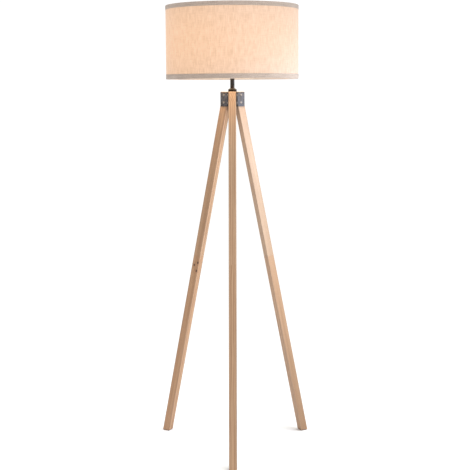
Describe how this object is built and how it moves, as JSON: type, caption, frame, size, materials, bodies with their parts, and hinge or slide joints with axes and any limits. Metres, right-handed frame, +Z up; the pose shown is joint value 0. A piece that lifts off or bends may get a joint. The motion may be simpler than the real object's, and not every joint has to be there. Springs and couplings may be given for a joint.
{
  "type": "tripod floor lamp",
  "caption": "Floor lamp on square wooden tripod legs held in a steel bracket hub, with a short stem, a lamp holder and a fabric drum shade with taped rims.",
  "frame": {"origin": "the floor point under the lamp's axis, midway between the three feet", "axes": "+Z up the lamp's axis, -Y towards the front leg, +X towards the switch knob"},
  "size_m": [0.5094, 0.504, 1.4632],
  "materials": {
    "leg_wood": "clear matt lacquer",
    "foot_pad": "moulded",
    "stud_steel": "bright zinc",
    "insert_brass": "plain",
    "bracket_steel": "dull grey, worn",
    "screw_steel": "bright zinc",
    "hub_steel": "dull grey",
    "pipe_steel": "bright zinc",
    "bush_plastic": "moulded",
    "stem_gunmetal": "dark gunmetal, satin",
    "collar_bronze": "dark bronze, satin",
    "holder_black": "satin",
    "skirt_black": "moulded",
    "block_phenolic": "moulded",
    "contact_brass": "plain",
    "knob_black": "moulded, fluted",
    "shade_fabric": "plain linen weave",
    "shade_liner": "translucent film",
    "shade_tape": "fine ribbed tape",
    "wire_white": "powder coat",
    "bulb_glass": "frosted inside",
    "bulb_cap": "plain",
    "bulb_insulator": "black glass",
    "bulb_tip": "solder"
  },
  "bodies": {
    "stand": {"foot_pads": "foot_pad", "leg_studs": "stud_steel", "leg_inserts": "insert_brass", "bracket_screws": "screw_steel", "hub_core": "hub_steel", "hub_spacer": "hub_steel", "hub_lock_washer": "pipe_steel", "hub_nut": "pipe_steel", "lamp_pipe": "pipe_steel", "cord_bush": "bush_plastic", "stem_collar": "collar_bronze", "stem_tube": "stem_gunmetal", "holder_cap": "holder_black", "holder_block": "block_phenolic", "holder_grub_screw": "stud_steel", "terminal_screws": "contact_brass", "centre_contact": "contact_brass", "socket_thread": "contact_brass", "holder_skirt": "skirt_black", "shade_ring": "skirt_black", "leg_front_upper": "leg_wood", "leg_front_lower": "leg_wood", "bracket_front": "bracket_steel", "leg_right_upper": "leg_wood", "leg_right_lower": "leg_wood", "bracket_right": "bracket_steel", "leg_left_upper": "leg_wood", "leg_left_lower": "leg_wood", "bracket_left": "bracket_steel"},
    "shade": {"shade_fabric": "shade_fabric", "shade_liner": "shade_liner", "top_trim": "shade_tape", "bottom_trim": "shade_tape", "top_wire": "wire_white", "shade_frame": "wire_white"},
    "switch": {"switch_shaft": "contact_brass", "switch_knob": "knob_black"},
    "bulb": {"bulb_glass": "bulb_glass", "bulb_cap": "bulb_cap", "bulb_insulator": "bulb_insulator", "bulb_tip": "bulb_tip"}
  },
  "joints": [
    {"name": "shade_swivel", "type": "hinge", "parent": "stand", "child": "shade", "pos_m": [0, 0, 1.2886], "axis": [0, 0, 1], "continuous": true},
    {"name": "switch_turn", "type": "hinge", "parent": "stand", "child": "switch", "pos_m": [0.0195, 0, 1.273], "axis": [1, 0, 0], "continuous": true},
    {"name": "bulb_lift", "type": "slide", "parent": "stand", "child": "bulb", "axis": [0, 0, 1], "range_m": [0, 0.21]}
  ]
}
